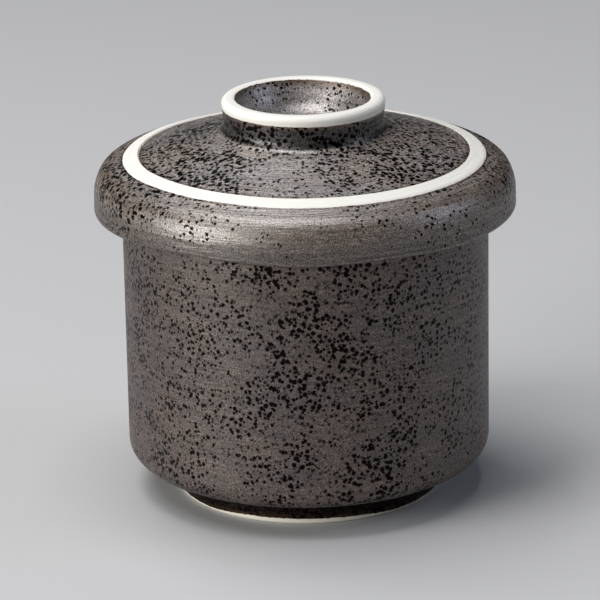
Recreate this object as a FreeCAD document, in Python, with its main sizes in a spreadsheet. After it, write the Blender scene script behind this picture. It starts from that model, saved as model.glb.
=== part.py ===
import FreeCAD, Part
import math
import os
import Sketcher

doc = FreeCAD.newDocument("lidded_custard_cup")

# Driving sizes: name, millimetres or degrees, what it measures
drivingSizes = [
    ("body_radius", 38.25, "outside of the cup's straight wall"),
    ("wall_thickness", 3.8, "cup wall"),
    ("rim_height", 66.0, "cup rim above the table, where the lid rests"),
    ("rim_round", 0.7, "edges of the cup rim"),
    ("base_height", 5.8, "underside of the cup's body above the table"),
    ("floor_rise", 3.4, "inside floor of the cup above that underside"),
    ("inner_corner_radius", 10.0, "floor to wall inside the cup"),
    ("corner_side_radius", 4.5, "lower corner, arc beside the wall"),
    ("corner_base_radius", 13.0, "lower corner, arc beside the base"),
    ("corner_turn", 69.0, "how far the first of those arcs turns, in degrees"),
    ("foot_inset", 10.35, "foot ring inside the straight wall"),
    ("foot_width", 3.9, "foot ring, from outside to inside"),
    ("foot_edge_round", 0.7, "edges that the foot ring stands on"),
    ("foot_root_round", 0.8, "foot ring to the cup's underside"),
    ("recess_drop", 2.0, "recess ceiling below the cup's underside"),
    ("recess_corner_round", 1.6, "corner of that recess"),
    ("skirt_gap", 0.9, "air between the cup wall and the lid's skirt"),
    ("skirt_thickness", 4.85, "skirt of the lid, at its widest"),
    ("skirt_drop", 5.3, "how far the skirt hangs below the cup rim"),
    ("lip_round", 0.8, "lower edges of the skirt"),
    ("widest_drop", 2.1, "where the lid stops being straight, below the cup rim"),
    ("collar_side_radius", 10.0, "gentle arc up the lid's side"),
    ("collar_side_turn", 25.0, "how far that arc turns, in degrees"),
    ("shoulder_radius", 4.4, "tighter arc over the shoulder"),
    ("shoulder_slope", 21.0, "slope between shoulder and band, in degrees"),
    ("band_inset", 6.25, "outer edge of the raised band, in from the widest part"),
    ("band_width", 3.3, "width of the raised band"),
    ("band_rise", 0.25, "how far the band stands proud"),
    ("band_slope", 14.0, "slope of the band, in degrees"),
    ("lid_slope", 15.5, "slope of the lid between band and knob, in degrees"),
    ("knob_root_radius", 16.4, "where the knob's wall meets the slope"),
    ("knob_fillet", 2.2, "hollow curve round the knob's root"),
    ("knob_flare", 6.0, "how far the knob's wall leans out, in degrees"),
    ("knob_height", 6.9, "top of the knob above its root"),
    ("knob_outer_round", 1.2, "outer edge of the knob's top"),
    ("knob_thickness", 3.1, "ring of the knob, at its top"),
    ("knob_inner_round", 0.9, "inner edge of the knob's top"),
    ("bowl_slope", 62.0, "slope of the bowl's wall, in degrees"),
    ("bowl_wall", 3.8, "straight part of that wall, measured down its slope"),
    ("bowl_side_radius", 5.0, "arc where the bowl's wall turns to its floor"),
    ("bowl_floor_radius", 55.0, "gentle arc of the bowl's floor"),
    ("dome_inset", 1.3, "edge of the hollow under the lid, in from the cup's inside"),
    ("dome_edge_rise", 1.4, "that edge above the cup rim"),
    ("dome_rise", 7.6, "centre of the hollow above the cup rim"),
]

# Sizes that follow from the driving ones
workedSizes = [
    ("foot_outer_radius", "Sizes.body_radius - Sizes.foot_inset"),
    ("foot_inner_radius", "Worked.foot_outer_radius - Sizes.foot_width"),
    ("foot_face_inner_radius", "Worked.foot_inner_radius + Sizes.foot_edge_round"),
    ("foot_face_outer_radius", "Worked.foot_outer_radius - Sizes.foot_edge_round"),
    ("foot_wall_height", "Sizes.base_height - Sizes.foot_root_round"),
    ("foot_root_radius", "Worked.foot_outer_radius + Sizes.foot_root_round"),
    ("recess_height", "Sizes.base_height - Sizes.recess_drop"),
    ("recess_wall_height", "Worked.recess_height - Sizes.recess_corner_round"),
    ("recess_ceiling_radius", "Worked.foot_inner_radius - Sizes.recess_corner_round"),
    ("corner_centres_apart", "Sizes.corner_base_radius - Sizes.corner_side_radius"),
    ("corner_side_centre", "Sizes.body_radius - Sizes.corner_side_radius"),
    ("wall_start_height", "Sizes.base_height + Sizes.corner_base_radius"
     " - Worked.corner_centres_apart * sin(Sizes.corner_turn)"),
    ("base_edge_radius", "Worked.corner_side_centre"
     " - Worked.corner_centres_apart * cos(Sizes.corner_turn)"),
    ("corner_meet_radius", "Worked.corner_side_centre"
     " + Sizes.corner_side_radius * cos(Sizes.corner_turn)"),
    ("corner_meet_height", "Worked.wall_start_height"
     " - Sizes.corner_side_radius * sin(Sizes.corner_turn)"),
    ("rim_edge_height", "Sizes.rim_height - Sizes.rim_round"),
    ("rim_outer_radius", "Sizes.body_radius - Sizes.rim_round"),
    ("inside_radius", "Sizes.body_radius - Sizes.wall_thickness"),
    ("rim_inner_radius", "Worked.inside_radius + Sizes.rim_round"),
    ("floor_height", "Sizes.base_height + Sizes.floor_rise"),
    ("inner_corner_height", "Worked.floor_height + Sizes.inner_corner_radius"),
    ("floor_radius", "Worked.inside_radius - Sizes.inner_corner_radius"),
    ("dome_edge_radius", "Worked.inside_radius - Sizes.dome_inset"),
    ("dome_edge_height", "Sizes.rim_height + Sizes.dome_edge_rise"),
    ("dome_height", "Sizes.rim_height + Sizes.dome_rise"),
    ("dome_sag", "Sizes.dome_rise - Sizes.dome_edge_rise"),
    ("dome_radius", "(Worked.dome_edge_radius^2 + Worked.dome_sag^2) / (2 * Worked.dome_sag)"),
    ("skirt_inner_radius", "Sizes.body_radius + Sizes.skirt_gap"),
    ("skirt_bottom", "Sizes.rim_height - Sizes.skirt_drop"),
    ("collar_radius", "Worked.skirt_inner_radius + Sizes.skirt_thickness"),
    ("lip_height", "Worked.skirt_bottom + Sizes.lip_round"),
    ("lip_inner_radius", "Worked.skirt_inner_radius + Sizes.lip_round"),
    ("lip_outer_radius", "Worked.collar_radius - Sizes.lip_round"),
    ("widest_height", "Sizes.rim_height - Sizes.widest_drop"),
    ("collar_centre", "Worked.collar_radius - Sizes.collar_side_radius"),
    ("shoulder_start_radius", "Worked.collar_centre"
     " + Sizes.collar_side_radius * cos(Sizes.collar_side_turn)"),
    ("shoulder_start_height", "Worked.widest_height"
     " + Sizes.collar_side_radius * sin(Sizes.collar_side_turn)"),
    ("shoulder_end_radius", "Worked.shoulder_start_radius"
     " + Sizes.shoulder_radius * (sin(Sizes.shoulder_slope) - cos(Sizes.collar_side_turn))"),
    ("shoulder_end_height", "Worked.shoulder_start_height"
     " + Sizes.shoulder_radius * (cos(Sizes.shoulder_slope) - sin(Sizes.collar_side_turn))"),
    ("band_outer_radius", "Worked.collar_radius - Sizes.band_inset"),
    ("band_outer_height", "Worked.shoulder_end_height"
     " + (Worked.shoulder_end_radius - Worked.band_outer_radius) * tan(Sizes.shoulder_slope)"),
    ("band_inner_radius", "Worked.band_outer_radius - Sizes.band_width"),
    ("band_inner_height", "Worked.band_outer_height + Sizes.band_width * tan(Sizes.band_slope)"),
    ("band_top_outer_radius", "Worked.band_outer_radius - Sizes.band_rise"),
    ("band_top_outer_height", "Worked.band_outer_height + Sizes.band_rise"),
    ("band_top_inner_radius", "Worked.band_inner_radius + Sizes.band_rise"),
    ("band_top_inner_height", "Worked.band_inner_height + Sizes.band_rise"),
    ("knob_root_height", "Worked.band_inner_height"
     " + (Worked.band_inner_radius - Sizes.knob_root_radius) * tan(Sizes.lid_slope)"),
    ("fillet_reach", "Sizes.knob_fillet / tan((90 - Sizes.knob_flare + Sizes.lid_slope) / 2)"),
    ("fillet_outer_radius", "Sizes.knob_root_radius + Worked.fillet_reach * cos(Sizes.lid_slope)"),
    ("fillet_outer_height", "Worked.knob_root_height - Worked.fillet_reach * sin(Sizes.lid_slope)"),
    ("fillet_top_radius", "Sizes.knob_root_radius + Worked.fillet_reach * sin(Sizes.knob_flare)"),
    ("fillet_top_height", "Worked.knob_root_height + Worked.fillet_reach * cos(Sizes.knob_flare)"),
    ("knob_top", "Worked.knob_root_height + Sizes.knob_height"),
    ("knob_wall_top", "Worked.knob_top - Sizes.knob_outer_round * (1 + sin(Sizes.knob_flare))"),
    ("knob_wall_radius", "Sizes.knob_root_radius"
     " + (Worked.knob_wall_top - Worked.knob_root_height) * tan(Sizes.knob_flare)"),
    ("knob_crown_outer", "Worked.knob_wall_radius - Sizes.knob_outer_round * cos(Sizes.knob_flare)"),
    ("knob_inner_radius", "Worked.knob_wall_radius - Sizes.knob_thickness"),
    ("knob_crown_inner", "Worked.knob_inner_radius + Sizes.knob_inner_round"),
    ("bowl_edge_radius", "Worked.knob_crown_inner - Sizes.knob_inner_round * sin(Sizes.bowl_slope)"),
    ("bowl_edge_height", "Worked.knob_top - Sizes.knob_inner_round * (1 - cos(Sizes.bowl_slope))"),
    ("bowl_wall_radius", "Worked.bowl_edge_radius - Sizes.bowl_wall * cos(Sizes.bowl_slope)"),
    ("bowl_wall_height", "Worked.bowl_edge_height - Sizes.bowl_wall * sin(Sizes.bowl_slope)"),
    ("bowl_side_centre", "Worked.bowl_wall_radius - Sizes.bowl_side_radius * sin(Sizes.bowl_slope)"),
    ("bowl_side_height", "Worked.bowl_wall_height + Sizes.bowl_side_radius * cos(Sizes.bowl_slope)"),
    ("bowl_centres_apart", "Sizes.bowl_floor_radius - Sizes.bowl_side_radius"),
    ("bowl_centres_rise", "sqrt(Worked.bowl_centres_apart^2 - Worked.bowl_side_centre^2)"),
    ("bowl_floor", "Worked.bowl_side_height - Sizes.bowl_floor_radius + Worked.bowl_centres_rise"),
    ("bowl_meet_radius", "Worked.bowl_side_centre * Sizes.bowl_floor_radius / Worked.bowl_centres_apart"),
    ("bowl_meet_height", "Worked.bowl_side_height"
     " - Sizes.bowl_side_radius * Worked.bowl_centres_rise / Worked.bowl_centres_apart"),
]

sheet = doc.addObject("Spreadsheet::Sheet", "Sizes")
for row, (alias, value, meaning) in enumerate(drivingSizes, start=1):
    sheet.set(f"A{row}", meaning)
    sheet.set(f"B{row}", str(value))
    sheet.setAlias(f"B{row}", alias)
doc.recompute()

worked = doc.addObject("App::VarSet", "Worked")
for name, formula in workedSizes:
    worked.addProperty("App::PropertyFloat", name, "Worked")
    worked.setExpression(name, formula)
    doc.recompute()

workedNames = [name for name, formula in workedSizes]


def source(name):
    return f"Worked.{name}" if name in workedNames else f"Sizes.{name}"


def number(name):
    if name in ("axis", "table"):
        return 0.0
    return getattr(worked, name) if name in workedNames else sheet.get(name)


def straight(start, end):
    return Part.LineSegment(start, end)


def bent(start, end, radius, turn):
    # The centre lies left of the chord on a left turn and right of it on a right turn
    side = 1 if turn == "left" else -1
    chord = end - start
    middle = (start + end) / 2
    depth = math.sqrt(radius ** 2 - (chord.Length / 2) ** 2)
    across = FreeCAD.Vector(-chord.y, chord.x, 0).normalize()
    centre = middle + across * depth * side
    first, last = (start, end) if turn == "left" else (end, start)
    firstAngle = math.atan2(first.y - centre.y, first.x - centre.x)
    lastAngle = math.atan2(last.y - centre.y, last.x - centre.x)
    circle = Part.Circle(centre, FreeCAD.Vector(0, 0, 1), radius)
    return Part.ArcOfCircle(circle, firstAngle, lastAngle)


def bind(sketch, constraint, name):
    index = sketch.addConstraint(constraint)
    sketch.setExpression(f"Constraints[{index}]", source(name))


def halfSection(body, label, path):
    # Each step of the path is a corner's radius and height, then how the edge runs on from it
    sketch = body.newObject("Sketcher::SketchObject", label)
    plane = [feature for feature in body.Origin.OriginFeatures if feature.Role == "XZ_Plane"][0]
    sketch.AttachmentSupport = [(plane, "")]
    sketch.MapMode = "FlatFace"
    corners = [FreeCAD.Vector(number(radius), number(height), 0) for radius, height, *edge in path]
    ends = []
    for index, (radius, height, *edge) in enumerate(path):
        start = corners[index]
        end = corners[(index + 1) % len(path)]
        if edge:
            turn, bendName = edge
            sketch.addGeometry(bent(start, end, number(bendName), turn), False)
            ends.append((1, 2) if turn == "left" else (2, 1))
        else:
            sketch.addGeometry(straight(start, end), False)
            ends.append((1, 2))
    for index, (radius, height, *edge) in enumerate(path):
        following = (index + 1) % len(path)
        begins, finishes = ends[index]
        sketch.addConstraint(Sketcher.Constraint("Coincident", index, finishes, following, ends[following][0]))
        if radius == "axis":
            sketch.addConstraint(Sketcher.Constraint("PointOnObject", index, begins, -2))
        else:
            bind(sketch, Sketcher.Constraint("DistanceX", -1, 1, index, begins, number(radius)), radius)
        if height == "table":
            sketch.addConstraint(Sketcher.Constraint("PointOnObject", index, begins, -1))
        else:
            bind(sketch, Sketcher.Constraint("DistanceY", -1, 1, index, begins, number(height)), height)
        if edge:
            bind(sketch, Sketcher.Constraint("Radius", index, number(edge[1])), edge[1])
    doc.recompute()
    return sketch


def turned(label, path):
    body = doc.addObject("PartDesign::Body", label)
    body.Label = label
    section = halfSection(body, f"{label}_section", path)
    revolution = body.newObject("PartDesign::Revolution", f"{label}_turned")
    revolution.Profile = section
    revolution.ReferenceAxis = (section, ["V_Axis"])
    revolution.Angle = 360.0
    section.Visibility = False
    doc.recompute()
    return body


cupPath = [
    ("axis", "recess_height"),
    ("recess_ceiling_radius", "recess_height", "right", "recess_corner_round"),
    ("foot_inner_radius", "recess_wall_height"),
    ("foot_inner_radius", "foot_edge_round", "left", "foot_edge_round"),
    ("foot_face_inner_radius", "table"),
    ("foot_face_outer_radius", "table", "left", "foot_edge_round"),
    ("foot_outer_radius", "foot_edge_round"),
    ("foot_outer_radius", "foot_wall_height", "right", "foot_root_round"),
    ("foot_root_radius", "base_height"),
    ("base_edge_radius", "base_height", "left", "corner_base_radius"),
    ("corner_meet_radius", "corner_meet_height", "left", "corner_side_radius"),
    ("body_radius", "wall_start_height"),
    ("body_radius", "rim_edge_height", "left", "rim_round"),
    ("rim_outer_radius", "rim_height"),
    ("rim_inner_radius", "rim_height", "left", "rim_round"),
    ("inside_radius", "rim_edge_height"),
    ("inside_radius", "inner_corner_height", "right", "inner_corner_radius"),
    ("floor_radius", "floor_height"),
    ("axis", "floor_height"),
]

lidPath = [
    ("axis", "dome_height", "right", "dome_radius"),
    ("dome_edge_radius", "dome_edge_height"),
    ("dome_edge_radius", "rim_height"),
    ("skirt_inner_radius", "rim_height"),
    ("skirt_inner_radius", "lip_height", "left", "lip_round"),
    ("lip_inner_radius", "skirt_bottom"),
    ("lip_outer_radius", "skirt_bottom", "left", "lip_round"),
    ("collar_radius", "lip_height"),
    ("collar_radius", "widest_height", "left", "collar_side_radius"),
    ("shoulder_start_radius", "shoulder_start_height", "left", "shoulder_radius"),
    ("shoulder_end_radius", "shoulder_end_height"),
    ("band_outer_radius", "band_outer_height"),
    ("band_top_outer_radius", "band_top_outer_height"),
    ("band_top_inner_radius", "band_top_inner_height"),
    ("band_inner_radius", "band_inner_height"),
    ("fillet_outer_radius", "fillet_outer_height", "right", "knob_fillet"),
    ("fillet_top_radius", "fillet_top_height"),
    ("knob_wall_radius", "knob_wall_top", "left", "knob_outer_round"),
    ("knob_crown_outer", "knob_top"),
    ("knob_crown_inner", "knob_top", "left", "knob_inner_round"),
    ("bowl_edge_radius", "bowl_edge_height"),
    ("bowl_wall_radius", "bowl_wall_height", "right", "bowl_side_radius"),
    ("bowl_meet_radius", "bowl_meet_height", "right", "bowl_floor_radius"),
    ("axis", "bowl_floor"),
]

cup = turned("cup", cupPath)
lid = turned("lid", lidPath)
doc.recompute()

for item in doc.Objects:
    if "Invalid" in item.State or "Error" in item.State:
        raise RuntimeError(f"{item.Name} is not built: {item.State}")
for body in (cup, lid):
    if body.Shape.isNull() or not body.Shape.isValid():
        raise RuntimeError(f"{body.Label} has no valid shape")

os.makedirs("parts", exist_ok=True)
for body in (cup, lid):
    body.Shape.exportStep(os.path.join("parts", f"{body.Label}.step"))
    box = body.Shape.BoundBox
    print(body.Label, "volume", round(body.Shape.Volume), "height", round(box.ZMin, 3), round(box.ZMax, 3),
          "across", round(box.XLength, 3))
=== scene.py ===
import math

import bmesh
import bpy
from mathutils import Matrix, Vector, noise


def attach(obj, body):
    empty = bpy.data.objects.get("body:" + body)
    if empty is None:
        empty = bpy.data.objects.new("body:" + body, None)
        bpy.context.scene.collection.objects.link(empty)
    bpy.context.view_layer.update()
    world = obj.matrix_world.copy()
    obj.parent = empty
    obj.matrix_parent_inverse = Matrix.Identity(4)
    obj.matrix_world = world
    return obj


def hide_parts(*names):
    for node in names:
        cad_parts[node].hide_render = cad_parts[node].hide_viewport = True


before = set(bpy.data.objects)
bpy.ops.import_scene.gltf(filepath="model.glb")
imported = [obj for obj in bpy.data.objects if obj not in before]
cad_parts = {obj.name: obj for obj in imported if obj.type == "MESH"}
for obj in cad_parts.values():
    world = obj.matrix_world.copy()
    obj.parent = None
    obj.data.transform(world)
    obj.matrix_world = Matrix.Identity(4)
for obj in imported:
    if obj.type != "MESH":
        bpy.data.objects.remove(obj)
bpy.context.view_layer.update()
mm = 0.001  # one millimetre in metres

print("stage: frame loaded")


# Meshes

def arcPoints(start, end, radius, spacing, widestStep=9):
    # The arc turns left from start to end where its radius is positive, and right where it is negative.
    # Its rings lie no further apart than the spacing in mm or the widest step in degrees
    chord = end - start
    bend = abs(radius)
    depth = math.sqrt(max(bend ** 2 - (chord.length / 2) ** 2, 0.0))
    across = Vector((-chord.y, chord.x)).normalized() * math.copysign(depth, radius)
    centre = (start + end) / 2 + across
    turn = 2 * math.asin(min(chord.length / 2 / bend, 1.0))
    pieces = max(math.ceil(bend * turn / spacing), math.ceil(math.degrees(turn) / widestStep))
    first = start - centre
    return [centre + Matrix.Rotation(math.copysign(turn * step / pieces, radius), 2) @ first
            for step in range(1, pieces)]


def halfSection(shell, path):
    # Each step is a radius and a height in mm, the radius of the arc that follows (0 is straight),
    # and how far apart the rings of the mesh are on that stretch
    corners = [Vector(step[:2]) for step in path]
    line = [corners[0]]
    for start, end, (radius, height, bend, spacing) in zip(corners, corners[1:], path):
        if bend:
            line += arcPoints(start, end, bend, spacing)
        else:
            pieces = max(1, math.ceil((end - start).length / spacing))
            line += [start.lerp(end, step / pieces) for step in range(1, pieces)]
        line.append(end)
    verts = [shell.verts.new((point.x, 0, point.y)) for point in line]
    return verts + [shell.edges.new(pair) for pair in zip(verts, verts[1:])]


def addWheelMarks(shell, marks):
    # Rings left by the potter's wheel, always cut into the clay and never standing proud of it
    shell.normal_update()
    moves = []
    for vert in shell.verts:
        x, y, z = vert.co
        radius = math.hypot(x, y)
        depth = 0.0
        for mark in marks:
            inside = min(radius - mark["inner"], mark["outer"] - radius,
                         z - mark["bottom"], mark["top"] - z)
            if inside <= 0:
                continue
            fade = min(inside / mark["fade"], 1.0)
            along = z if mark["along"] == "height" else radius
            around = Vector((x, y, 0)) / max(radius, 1.0) * mark["wander"]
            ring = noise.noise(Vector((around.x + mark["seed"], around.y, along / mark["pitch"])))
            depth += fade * mark["depth"] * (0.5 - 0.5 * ring)
        moves.append((vert, vert.normal * depth))
    for vert, move in moves:
        vert.co -= move


def liftLip(shell, lift):
    # The skirt's edge was smoothed by hand, so it rides up a little on one side
    for vert in shell.verts:
        x, y, z = vert.co
        if z < lift["top"] and math.hypot(x, y) > lift["inner"]:
            off = math.atan2(x, -y) - math.radians(lift["side"])
            reach = math.exp(-(off / math.radians(lift["spread"])) ** 2)
            vert.co.z += lift["height"] * reach * (lift["top"] - z) / (lift["top"] - lift["bottom"])


def cutGroove(shell, groove):
    # A shallow line round the skirt, where a finger or a sponge ran on the wheel
    for vert in shell.verts:
        x, y, z = vert.co
        radius = math.hypot(x, y)
        off = abs(z - groove["height"]) / groove["halfWidth"]
        if radius > groove["inner"] and off < 1:
            vert.co.x -= x / radius * groove["depth"] * (1 - off ** 2) ** 2
            vert.co.y -= y / radius * groove["depth"] * (1 - off ** 2) ** 2


def swayBand(shell, sway):
    # The white ring isn't quite true: on one side it lies a little nearer the knob
    for vert in shell.verts:
        x, y, z = vert.co
        radius = math.hypot(x, y)
        off = abs(radius - sway["radius"]) / sway["reach"]
        if z > sway["above"] and off < 1:
            toward = (x * sway["side"][0] + y * sway["side"][1]) / radius
            part = min(max((toward - sway["begins"]) / (1 - sway["begins"]), 0.0), 1.0)
            move = sway["shift"] * part * part * (3 - 2 * part) * (1 - off ** 2) ** 2
            vert.co += Vector((-x / radius, -y / radius, sway["slope"])) * move


def turnedPiece(name, settings, node):
    shell = bmesh.new()
    section = halfSection(shell, settings["path"])
    bmesh.ops.spin(shell, geom=section, cent=(0, 0, 0), axis=(0, 0, 1), angle=math.tau,
                   steps=settings["steps"], use_merge=True, use_duplicate=False)
    bmesh.ops.remove_doubles(shell, verts=shell.verts, dist=settings["weld"])
    bmesh.ops.recalc_face_normals(shell, faces=shell.faces)
    addWheelMarks(shell, settings["wheelMarks"])
    for lift in settings["lipLifts"]:
        liftLip(shell, lift)
    for groove in settings["grooves"]:
        cutGroove(shell, groove)
    for sway in settings["sways"]:
        swayBand(shell, sway)
    bmesh.ops.scale(shell, vec=(mm, mm, mm), verts=shell.verts)
    for face in shell.faces:
        face.smooth = True
    mesh = bpy.data.meshes.new(name)
    shell.to_mesh(mesh)
    shell.free()
    mesh.set_sharp_from_angle(angle=math.radians(settings["sharpAngle"]))
    piece = bpy.data.objects.new(name, mesh)
    bpy.context.collection.objects.link(piece)
    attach(piece, "root")
    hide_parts(node)
    print("stage:", name, len(mesh.polygons), "faces")
    return piece


cup = {
    "steps": 192,
    "weld": 0.002,
    "sharpAngle": 40,
    "path": [
        (0, 3.8, 0, 2.5),
        (22.4, 3.8, -1.6, 0.5),
        (24.0, 2.2, 0, 0.5),
        (24.0, 0.7, 0.7, 0.3),
        (24.7, 0, 0, 0.6),
        (27.2, 0, 0.7, 0.25),
        (27.9, 0.7, 0, 0.3),
        (27.9, 5.0, -0.8, 0.3),
        (28.7, 5.8, 0, 0.6),
        (30.704, 5.8, 13.0, 0.3),
        (35.363, 6.663, 4.5, 0.3),
        (38.25, 10.865, 0, 0.3),
        (38.25, 65.3, 0.7, 0.25),
        (37.55, 66.0, 0, 0.6),
        (35.15, 66.0, 0.7, 0.25),
        (34.45, 65.3, 0, 1.6),
        (34.45, 19.2, -10.0, 0.8),
        (24.45, 9.2, 0, 1.6),
        (0, 9.2, 0, 1.6),
    ],
    "wheelMarks": [
        dict(bottom=6.2, top=60.0, inner=31.0, outer=39.0, fade=4.0, along="height",
             pitch=0.8, depth=0.05, wander=0.5, seed=3.1),
        dict(bottom=6.2, top=60.0, inner=31.0, outer=39.0, fade=6.0, along="height",
             pitch=4.5, depth=0.10, wander=0.7, seed=8.4),
        dict(bottom=8.0, top=62.0, inner=-1.0, outer=35.0, fade=4.0, along="height",
             pitch=5.0, depth=0.15, wander=0.4, seed=5.7),
    ],
    "lipLifts": [],
    "grooves": [],
    "sways": [],
}

lid = {
    "steps": 192,
    "weld": 0.002,
    "sharpAngle": 40,
    "path": [
        (0, 73.6, -91.723, 2.0),
        (33.15, 67.4, 0, 0.7),
        (33.15, 66.0, 0, 1.5),
        (39.15, 66.0, 0, 1.2),
        (39.15, 61.5, 0.8, 0.3),
        (39.95, 60.7, 0, 0.8),
        (43.2, 60.7, 0.8, 0.25),
        (44.0, 61.5, 0, 0.3),
        (44.0, 63.9, 10.0, 0.3),
        (43.063, 68.126, 4.4, 0.3),
        (40.652, 70.374, 0, 0.3),
        (37.75, 71.488, 0, 0.2),
        (37.5, 71.738, 0, 0.5),
        (34.7, 72.561, 0, 0.2),
        (34.45, 72.311, 0, 0.3),
        (18.195, 76.819, -2.2, 0.3),
        (16.595, 79.169, 0, 0.4),
        (16.986, 82.892, 1.2, 0.25),
        (15.792, 84.217, 0, 0.4),
        (14.786, 84.217, 0.9, 0.2),
        (13.991, 83.739, 0, 0.4),
        (12.207, 80.384, -5.0, 0.4),
        (8.572, 77.793, -55.0, 0.6),
        (0, 77.121, 0, 1.0),
    ],
    "lipLifts": [
        dict(side=-34.0, spread=24.0, height=1.0, bottom=60.7, top=66.0, inner=38.9),
        dict(side=22.0, spread=16.0, height=0.5, bottom=60.7, top=66.0, inner=38.9),
    ],
    "grooves": [
        dict(height=62.5, halfWidth=0.75, depth=0.05, inner=42.0),
        dict(height=64.2, halfWidth=0.80, depth=0.06, inner=42.0),
    ],
    "sways": [
        dict(side=(-0.62, -0.79), begins=0.84, shift=0.4, radius=36.1, reach=5.5,
             slope=0.27, above=68.0),
    ],
    "wheelMarks": [
        dict(bottom=62.0, top=69.5, inner=41.5, outer=45.0, fade=1.0, along="height",
             pitch=0.9, depth=0.05, wander=0.6, seed=1.3),
        dict(bottom=71.0, top=78.0, inner=17.5, outer=34.0, fade=1.2, along="radius",
             pitch=1.3, depth=0.07, wander=0.5, seed=6.2),
    ],
}

cupPiece = turnedPiece("cupGlazed", cup, "cup")
lidPiece = turnedPiece("lidGlazed", lid, "lid")


# Materials

def fromHex(text):
    # sRGB hex to linear, the form that Blender's colours have
    parts = [int(text[place:place + 2], 16) / 255 for place in (1, 3, 5)]
    return [part / 12.92 if part <= 0.04045 else ((part + 0.055) / 1.055) ** 2.4
            for part in parts] + [1.0]


def addNode(tree, kind, sockets, output=0, **settings):
    # Adds a node, sets it, links or sets its inputs, and gives back one of its outputs
    node = tree.nodes.new(kind)
    for key, value in settings.items():
        setattr(node, key, value)
    for key, value in sockets.items():
        if isinstance(value, bpy.types.NodeSocket):
            tree.links.new(value, node.inputs[key])
        else:
            node.inputs[key].default_value = value
    return node.outputs[output] if node.outputs else node


# What both glazes share. Widths are in mm and patterns in repeats to the mm; levels are the two values
# of a noise between which something comes in
firing = {
    "edgeBends": 0.9,             # in the line where the glaze meets the clay
    "clayEdge": (0.09, -0.05),    # from that line: where all is glaze, where all is clay
    "thinEdge": (1.1, 0.05),      # from that line: where the glaze is full, where it is thin
    "farOff": 100.0,              # further than any line is
    "spotRagged": 2.0,            # in a spot's outline
    "spotPush": (0.5, 0.5, 0.5),
    "spotEdge": 0.19,             # the part of a cell in which a spot's edge fades
    "drifts": 0.11,               # 9 mm across
    "driftLevels": (0.36, 0.62),
    "sunkLevels": (0.36, 0.5),
    "tones": 0.07,                # 14 mm across
    "toneLevels": (0.38, 0.62),
    "grain": 4.0,                 # 0.25 mm across
    "dullLevels": (0.56, 0.34),
    "brightLevels": (0.50, 0.66),
    "dimGrain": 0.7,
    "wheelLines": 1.4,            # 0.7 mm from line to line
    "wheelRound": (0.12, 0.12, 0),
    "lineLevels": (0.3, 0.7),
    "lineGain": (0.65, 1.35),
    "brightGloss": -0.08,         # bright crystals are that much smoother
    "chalk": 0.75,                # roughness of the bare clay
    "grainRelief": 0.35,
    "reliefDepth": 0.12,          # of the grain and the wheel lines
}


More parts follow.
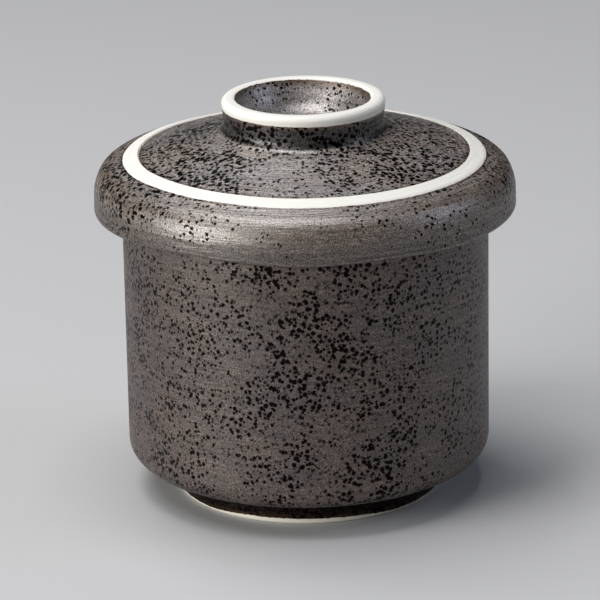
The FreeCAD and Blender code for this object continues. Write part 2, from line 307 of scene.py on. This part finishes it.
def speckledGlaze(name, look):
    # Iron glaze on stoneware, fired to a satin: black iron spots bloomed through a grey-brown ground.
    # Iron crystals fill it, so it bends light far more than clear glaze does and glints like pewter in
    # a grain of dull and bright; it runs thin and brown where it meets the bare clay
    material = bpy.data.materials.new(name)
    material.use_nodes = True
    tree = material.node_tree
    tree.nodes.clear()
    soft = {"interpolation_type": "SMOOTHSTEP"}
    paint = {"data_type": "RGBA", "output": 2}

    place = addNode(tree, "ShaderNodeTexCoord", {}, output=3)
    point = addNode(tree, "ShaderNodeVectorMath", {0: place, "Scale": 1 / mm}, operation="SCALE")
    height = addNode(tree, "ShaderNodeSeparateXYZ", {0: point}, output=2)
    flat = addNode(tree, "ShaderNodeVectorMath", {0: point, 1: (1, 1, 0)}, operation="MULTIPLY")
    radius = addNode(tree, "ShaderNodeVectorMath", {0: flat}, operation="LENGTH", output=1)

    # Bare clay: boxes in the half-section, whose edge wanders, leans to one side and sways
    wander = addNode(tree, "ShaderNodeTexNoise", {"Vector": point, "Scale": firing["edgeBends"],
                                                  "Detail": 2.0})
    nearest = firing["farOff"]
    for zone in look["bareClay"]:
        along = addNode(tree, "ShaderNodeVectorMath", {0: flat, 1: zone["side"]},
                        operation="DOT_PRODUCT", output=1)
        toward = addNode(tree, "ShaderNodeMath", {0: along, 1: radius}, operation="DIVIDE")
        lobe = addNode(tree, "ShaderNodeMapRange", {"Value": toward, "From Min": zone["begins"]},
                       **soft)
        outward = addNode(tree, "ShaderNodeMath", {0: lobe, 1: zone["sway"], 2: radius},
                          operation="MULTIPLY_ADD")
        beyond = -firing["farOff"]
        for value, centre, half in ((outward, zone["radius"], zone["halfWidth"]),
                                    (height, zone["height"], zone["halfHeight"])):
            off = addNode(tree, "ShaderNodeMath", {0: value, 1: centre}, operation="SUBTRACT")
            away = addNode(tree, "ShaderNodeMath", {0: off}, operation="ABSOLUTE")
            past = addNode(tree, "ShaderNodeMath", {0: away, 1: half}, operation="SUBTRACT")
            beyond = addNode(tree, "ShaderNodeMath", {0: beyond, 1: past}, operation="MAXIMUM")
        leaned = addNode(tree, "ShaderNodeMath", {0: lobe, 1: -zone["lean"], 2: beyond},
                         operation="MULTIPLY_ADD")
        moved = addNode(tree, "ShaderNodeMath", {0: wander, 1: zone["wander"], 2: leaned},
                        operation="MULTIPLY_ADD")
        edge = addNode(tree, "ShaderNodeMath", {0: moved, 1: zone["wander"] / 2},
                       operation="SUBTRACT")
        nearest = addNode(tree, "ShaderNodeMath", {0: nearest, 1: edge}, operation="MINIMUM")
    bare = addNode(tree, "ShaderNodeMapRange", {"Value": nearest, "From Min": firing["clayEdge"][0],
                                                "From Max": firing["clayEdge"][1]}, **soft)
    thin = addNode(tree, "ShaderNodeMapRange", {"Value": nearest, "From Min": firing["thinEdge"][0],
                                                "From Max": firing["thinEdge"][1]}, **soft)

    # Zones with a finish of their own, each a fade between radii and between heights; some of them hold
    # painted shade or painted light, as each zone's note in the glaze tables says
    masks = []
    for zone in look["zones"]:
        mask = 1.0
        for value, fades in ((radius, zone["radius"]), (height, zone["height"])):
            for start, full in fades:
                shown = addNode(tree, "ShaderNodeMapRange", {"Value": value, "From Min": start,
                                                             "From Max": full}, **soft)
                mask = addNode(tree, "ShaderNodeMath", {0: mask, 1: shown}, operation="MULTIPLY")
        masks.append(mask)

    # Spots: at most one to a cell, each with its own size, gathered in drifts, and ragged because the
    # pattern's own place is pushed about by up to 0.25 mm
    ragged = addNode(tree, "ShaderNodeTexNoise", {"Vector": point, "Scale": firing["spotRagged"],
                                                  "Detail": 1.0}, output=1)
    pushed = addNode(tree, "ShaderNodeVectorMath", {0: ragged, 1: firing["spotPush"], 2: point},
                     operation="MULTIPLY_ADD")
    drift = addNode(tree, "ShaderNodeTexNoise", {"Vector": point, "Scale": firing["drifts"],
                                                 "Detail": 3.0, "Roughness": 0.65})
    crowding = addNode(tree, "ShaderNodeMapRange", {
        "Value": drift, "From Min": firing["driftLevels"][0], "From Max": firing["driftLevels"][1],
        "To Min": look["sparse"], "To Max": look["dense"]}, **soft)
    for zone, mask in zip(look["zones"], masks):
        crowding = addNode(tree, "ShaderNodeMath", {0: mask, 1: zone["spots"], 2: crowding},
                           operation="MULTIPLY_ADD")
    for patch in look["spotPatches"]:
        along = addNode(tree, "ShaderNodeVectorMath", {0: flat, 1: patch["side"]},
                        operation="DOT_PRODUCT", output=1)
        toward = addNode(tree, "ShaderNodeMath", {0: along, 1: radius}, operation="DIVIDE")
        lobe = addNode(tree, "ShaderNodeMapRange", {"Value": toward, "From Min": patch["begins"],
                                                    "To Max": patch["more"]}, **soft)
        reached = addNode(tree, "ShaderNodeMapRange", {"Value": radius, "From Min": patch["inner"],
                                                       "From Max": patch["outer"]}, **soft)
        crowding = addNode(tree, "ShaderNodeMath", {0: lobe, 1: reached, 2: crowding},
                           operation="MULTIPLY_ADD")
    spots = 0.0
    for layer in look["spots"]:
        cell = addNode(tree, "ShaderNodeTexVoronoi", {"Vector": pushed, "Scale": layer["perMm"]})
        own = addNode(tree, "ShaderNodeSeparateColor", {0: cell.node.outputs["Color"]})
        reach = addNode(tree, "ShaderNodeMapRange", {"Value": own, "To Min": layer["smallest"],
                                                     "To Max": layer["largest"]})
        reach = addNode(tree, "ShaderNodeMath", {0: reach, 1: crowding}, operation="ADD")
        inside = addNode(tree, "ShaderNodeMath", {0: reach, 1: cell}, operation="SUBTRACT")
        spot = addNode(tree, "ShaderNodeMapRange", {"Value": inside, "From Max": firing["spotEdge"]},
                       **soft)
        spots = addNode(tree, "ShaderNodeMath", {0: spots, 1: spot}, operation="MAXIMUM")
    sunk = addNode(tree, "ShaderNodeMapRange", {
        "Value": drift, "From Min": firing["sunkLevels"][0], "From Max": firing["sunkLevels"][1],
        "To Min": look["sunkSpots"]}, **soft)
    spots = addNode(tree, "ShaderNodeMath", {0: spots, 1: sunk}, operation="MULTIPLY")

    # Grain: iron crystals, drawn coarser than the real ones so that they show
    grain = addNode(tree, "ShaderNodeTexNoise", {"Vector": point, "Scale": firing["grain"],
                                                 "Detail": 1.0, "Roughness": 0.6})
    dull = addNode(tree, "ShaderNodeMapRange", {
        "Value": grain, "From Min": firing["dullLevels"][0], "From Max": firing["dullLevels"][1],
        "To Max": look["dullGrain"]}, **soft)
    bright = addNode(tree, "ShaderNodeMapRange", {
        "Value": grain, "From Min": firing["brightLevels"][0],
        "From Max": firing["brightLevels"][1]}, **soft)

    # Wheel lines: noise stretched round the piece, one line after another down the wall or the slope
    fall = addNode(tree, "ShaderNodeMath", {0: height, 1: radius}, operation="SUBTRACT")
    line = addNode(tree, "ShaderNodeMath", {0: fall, 1: firing["wheelLines"]}, operation="MULTIPLY")
    line = addNode(tree, "ShaderNodeCombineXYZ", {2: line})
    stretched = addNode(tree, "ShaderNodeVectorMath", {0: point, 1: firing["wheelRound"], 2: line},
                        operation="MULTIPLY_ADD")
    wheel = addNode(tree, "ShaderNodeTexNoise", {"Vector": stretched, "Scale": 1.0, "Detail": 1.0})

    # Ground: broad drifts of tone, then each zone's colour, painted shade or painted light in some
    # zones, then grain and wheel lines
    tone = addNode(tree, "ShaderNodeTexNoise", {"Vector": point, "Scale": firing["tones"],
                                                "Detail": 4.0})
    tone = addNode(tree, "ShaderNodeMapRange", {"Value": tone, "From Min": firing["toneLevels"][0],
                                                "From Max": firing["toneLevels"][1]}, **soft)
    ground = addNode(tree, "ShaderNodeMix", {0: tone, 6: fromHex(look["ground"]),
                                             7: fromHex(look["warm"])}, **paint)
    for zone, mask in zip(look["zones"], masks):
        ground = addNode(tree, "ShaderNodeMix", {0: mask, 6: ground, 7: fromHex(zone["colour"])},
                         **paint)
    gain = addNode(tree, "ShaderNodeMapRange", {"Value": bright, "To Min": firing["dimGrain"],
                                                "To Max": look["brightGrain"]})
    lines = addNode(tree, "ShaderNodeMapRange", {
        "Value": wheel, "From Min": firing["lineLevels"][0], "From Max": firing["lineLevels"][1],
        "To Min": firing["lineGain"][0], "To Max": firing["lineGain"][1]})
    gain = addNode(tree, "ShaderNodeMath", {0: gain, 1: lines}, operation="MULTIPLY")
    colour = addNode(tree, "ShaderNodeMix", {0: 1.0, 6: ground, 7: gain}, blend_type="MULTIPLY",
                     **paint)
    for mask, tint in ((thin, "thinGlaze"), (spots, "ironSpot"), (bare, "clay")):
        colour = addNode(tree, "ShaderNodeMix", {0: mask, 6: colour, 7: fromHex(look[tint])}, **paint)

    # Spots and dull crystals act as black metal, which throws back less than the glaze round them
    dark = addNode(tree, "ShaderNodeMath", {0: spots, 1: dull}, operation="MAXIMUM")
    # A zone's dull share darkens its sheen too: painted shade on the cup's foot and on the knob's wall,
    # and a duller sheen low on the lid's skirt
    for zone, mask in zip(look["zones"], masks):
        dark = addNode(tree, "ShaderNodeMath", {0: mask, 1: zone["dull"], 2: dark},
                       operation="MULTIPLY_ADD", use_clamp=True)
    metallic = addNode(tree, "ShaderNodeMath", {0: 1.0, 1: bare}, operation="SUBTRACT")
    metallic = addNode(tree, "ShaderNodeMath", {0: metallic, 1: dark}, operation="MULTIPLY")

    # Satin, rougher or smoother in a zone, and chalky on the clay
    satin = look["satin"]
    for zone, mask in zip(look["zones"], masks):
        satin = addNode(tree, "ShaderNodeMath", {0: mask, 1: zone["rougher"], 2: satin},
                        operation="MULTIPLY_ADD")
    satin = addNode(tree, "ShaderNodeMath", {0: bright, 1: firing["brightGloss"], 2: satin},
                    operation="MULTIPLY_ADD")
    satin = addNode(tree, "ShaderNodeMapRange", {"Value": bare, "To Min": satin,
                                                 "To Max": firing["chalk"]})

    relief = addNode(tree, "ShaderNodeMath", {0: grain, 1: firing["grainRelief"], 2: wheel},
                     operation="MULTIPLY_ADD")
    bump = addNode(tree, "ShaderNodeBump", {"Strength": 1.0, "Distance": firing["reliefDepth"] * mm,
                                            "Height": relief})
    shader = addNode(tree, "ShaderNodeBsdfPrincipled", {
        "Base Color": colour, "Metallic": metallic, "Roughness": satin, "Normal": bump,
        "IOR": look["ior"]})
    addNode(tree, "ShaderNodeOutputMaterial", {"Surface": shader})
    return material


cupGlaze = {
    "ground": "#453A36",
    "warm": "#4C3E36",
    "zones": [
        # The foot and the base: painted shade, darker on the underside and in the recess
        dict(radius=[], height=[(7.0, 5.2)], colour="#231B16", dull=0.0, spots=0.0, rougher=0.0),
        # The middle of the base, where the glaze lies thicker, left out of that painted shade
        dict(radius=[(17.5, 16.9)], height=[], colour="#3E3531", dull=0.0, spots=0.0, rougher=0.0),
        # Painted shade on the foot and what leads down to it, under the body's overhang, in a darker
        # colour and a darker sheen, but neither the recess nor the inside
        dict(radius=[(35.5, 28.5), (24.2, 24.5)], height=[(9.1, 8.9)], colour="#1E1613",
             dull=0.80, spots=0.0, rougher=-0.10),
    ],
    "thinGlaze": "#4A3623",
    "ironSpot": "#140F0F",
    "clay": "#F0EBDC",
    "ior": 1.84,
    "satin": 0.50,
    "dullGrain": 0.6,
    "brightGrain": 2.2,
    "sparse": -0.12,  # what each spot's reach loses between the drifts
    "dense": 0.05,    # what it gains in them
    "sunkSpots": 0.7,
    "spots": [
        dict(perMm=0.85, smallest=0.40, largest=0.50),
        dict(perMm=1.05, smallest=0.28, largest=0.44),
    ],
    "spotPatches": [
        dict(side=(0.17, -0.98, 0), begins=0.75, more=0.05, inner=30.0, outer=36.0),
        dict(side=(-0.57, -0.82, 0), begins=0.93, more=-0.03, inner=30.0, outer=36.0),
        dict(side=(0.87, -0.50, 0), begins=0.80, more=-0.04, inner=30.0, outer=36.0),
    ],
    "bareClay": [
        dict(radius=26.0, halfWidth=3.0, height=-1.0, halfHeight=1.6, wander=0.4,
             side=(-0.07, -0.99, 0), begins=0.7, lean=0.6, sway=0.0),
        dict(radius=36.3, halfWidth=3.0, height=66.0, halfHeight=0.75, wander=0.2,
             side=(1, 0, 0), begins=0.0, lean=0.0, sway=0.0),
    ],
}

lidGlaze = {
    # The same glaze as the cup's, drawn much lighter on the lid: painted light for the lid's top and
    # shoulder, which face the lamps
    "ground": "#7D7875",
    "warm": "#857A72",
    "zones": [
        # The shoulder, outside the band
        dict(radius=[(38.0, 41.0)], height=[], colour="#6D6158", dull=0.0, spots=0.0, rougher=0.0),
        # Low on the skirt: darker, with fewer spots and a duller sheen
        dict(radius=[(40.9, 41.1)], height=[(67.0, 63.5)], colour="#4A3F37", dull=0.18,
             spots=-0.10, rougher=0.0),
        # The knob's wall: painted shade, darker in colour and in sheen all round
        dict(radius=[(17.5, 16.9)], height=[], colour="#28211E", dull=0.30, spots=0.0, rougher=0.0),
        # The knob's bowl: painted light, a lighter colour standing in for the lamps its hollow
        # reflects, with fewer spots and a rougher satin
        dict(radius=[(15.4, 14.6)], height=[], colour="#8B8582", dull=0.0, spots=-0.10,
             rougher=0.04),
    ],
    "thinGlaze": "#5E4A39",
    "ironSpot": "#100C0C",
    "clay": "#E7E4DB",
    "ior": 2.3,
    "satin": 0.42,
    "dullGrain": 0.6,
    "brightGrain": 2.0,
    "sparse": -0.08,
    "dense": 0.08,
    "sunkSpots": 0.8,
    "spots": [
        dict(perMm=0.85, smallest=0.40, largest=0.50),
        dict(perMm=1.05, smallest=0.28, largest=0.44),
    ],
    "spotPatches": [
        dict(side=(0.40, -0.92, 0), begins=0.3, more=-0.10, inner=37.5, outer=39.0),
        dict(side=(0.99, 0.10, 0), begins=0.7, more=0.06, inner=37.5, outer=39.0),
        dict(side=(-0.54, -0.84, 0), begins=0.93, more=-0.09, inner=37.5, outer=39.0),
        dict(side=(-0.92, -0.39, 0), begins=0.55, more=-0.03, inner=37.5, outer=39.0),
        dict(side=(-0.10, -0.99, 0), begins=0.93, more=-0.09, inner=19.0, outer=22.0),
        dict(side=(-0.75, -0.66, 0), begins=0.80, more=0.05, inner=19.0, outer=22.0),
    ],
    "bareClay": [
        dict(radius=36.1, halfWidth=1.65, height=72.2, halfHeight=2.0, wander=0.25,
             side=(-0.62, -0.79, 0), begins=0.84, lean=0.0, sway=0.4),
        dict(radius=16.15, halfWidth=1.85, height=84.2, halfHeight=1.9, wander=0.3,
             side=(0.97, 0.26, 0), begins=-1.0, lean=0.3, sway=0.0),
        dict(radius=36.3, halfWidth=3.1, height=66.0, halfHeight=0.9, wander=0.2,
             side=(1, 0, 0), begins=0.0, lean=0.0, sway=0.0),
    ],
}

cupPiece.data.materials.append(speckledGlaze("speckledGlazeCup", cupGlaze))
lidPiece.data.materials.append(speckledGlaze("speckledGlazeLid", lidGlaze))

print("stage: glaze made")


# Stage

studio = {
    "floorRadius": 6.0,
    "floorSides": 96,
    "paper": "#C1C1C1",
    "paperRoughness": 0.8,
    "roomColour": "#F2F3F5",
    "roomStrength": 0.02,
    "boxDistance": 1.2,
    "aim": (0, 0, 0.04),
}

floorShell = bmesh.new()
bmesh.ops.create_circle(floorShell, cap_ends=True, segments=studio["floorSides"],
                        radius=studio["floorRadius"])
floorMesh = bpy.data.meshes.new("studioFloor")
floorShell.to_mesh(floorMesh)
floorShell.free()
floorPiece = bpy.data.objects.new("studioFloor", floorMesh)
bpy.context.collection.objects.link(floorPiece)
floorPaint = bpy.data.materials.new("palePaper")
floorPaint.use_nodes = True
paper = floorPaint.node_tree.nodes["Principled BSDF"]
paper.inputs["Base Color"].default_value = fromHex(studio["paper"])
paper.inputs["Roughness"].default_value = studio["paperRoughness"]
floorMesh.materials.append(floorPaint)

world = bpy.data.worlds.new("studioRoom")
bpy.context.scene.world = world
world.use_nodes = True
room = world.node_tree.nodes["Background"]
room.inputs["Color"].default_value = fromHex(studio["roomColour"])
room.inputs["Strength"].default_value = studio["roomStrength"]


def addSoftbox(name, side, rise, width, depth, watts, colour):
    # Side and rise are in degrees: to the left of the camera's side, and above the floor
    lamp = bpy.data.lights.new(name, "AREA")
    lamp.shape = "RECTANGLE"
    lamp.size = width
    lamp.size_y = depth
    lamp.energy = watts
    lamp.color = fromHex(colour)[:3]
    holder = bpy.data.objects.new(name, lamp)
    bpy.context.collection.objects.link(holder)
    turn, climb = math.radians(side), math.radians(rise)
    outward = Vector((-math.sin(turn) * math.cos(climb), -math.cos(turn) * math.cos(climb),
                      math.sin(climb)))
    holder.location = Vector(studio["aim"]) + outward * studio["boxDistance"]
    holder.rotation_euler = (-outward).to_track_quat("-Z", "Y").to_euler()
    holder.visible_camera = False


softboxes = [
    dict(name="keySoftbox", side=58, rise=16, width=0.8, depth=0.55, watts=12.0, colour="#FFFEFC"),
    dict(name="highSoftbox", side=60, rise=65, width=0.55, depth=0.55, watts=4.5, colour="#FDFDFF"),
    dict(name="backSoftbox", side=135, rise=65, width=0.55, depth=0.55, watts=4.3, colour="#FDFDFF"),
    dict(name="overheadSoftbox", side=0, rise=89, width=0.55, depth=0.55, watts=4.65,
         colour="#FDFDFF"),
    dict(name="fillSoftbox", side=-85, rise=30, width=0.55, depth=0.55, watts=2.5, colour="#E2EBFF"),
]
for box in softboxes:
    addSoftbox(**box)


# Camera

view = {
    "distance": 0.758666,
    "height": 0.2932832,
    "tilt": -18.484,
    "pan": 0.1085,
    "roll": 1.05,
    "focalPixels": 3798.83,
    "imagePixels": 600,
    "sensorWidth": 36.0,
    "clipStart": 0.05,
}

pan = math.radians(view["pan"])
tilt = math.radians(view["tilt"])
roll = math.radians(view["roll"])
sideways = Vector((math.cos(pan), math.sin(pan), 0))
ahead = Vector((-math.sin(pan), math.cos(pan), 0))
forward = ahead * math.cos(tilt) + Vector((0, 0, 1)) * math.sin(tilt)
upward = Vector((0, 0, 1)) * math.cos(tilt) - ahead * math.sin(tilt)
right = sideways * math.cos(roll) - upward * math.sin(roll)
top = sideways * math.sin(roll) + upward * math.cos(roll)
camera = bpy.data.cameras.new("photoCamera")
cameraHolder = bpy.data.objects.new("photoCamera", camera)
bpy.context.collection.objects.link(cameraHolder)
facing = Matrix((right, top, -forward)).transposed().to_4x4()
cameraHolder.matrix_world = Matrix.Translation((0, -view["distance"], view["height"])) @ facing
camera.sensor_width = view["sensorWidth"]
camera.lens = view["focalPixels"] / view["imagePixels"] * camera.sensor_width
camera.clip_start = view["clipStart"]
bpy.context.scene.camera = cameraHolder

bpy.context.scene.view_settings.view_transform = "Standard"

print("stage: studio ready")
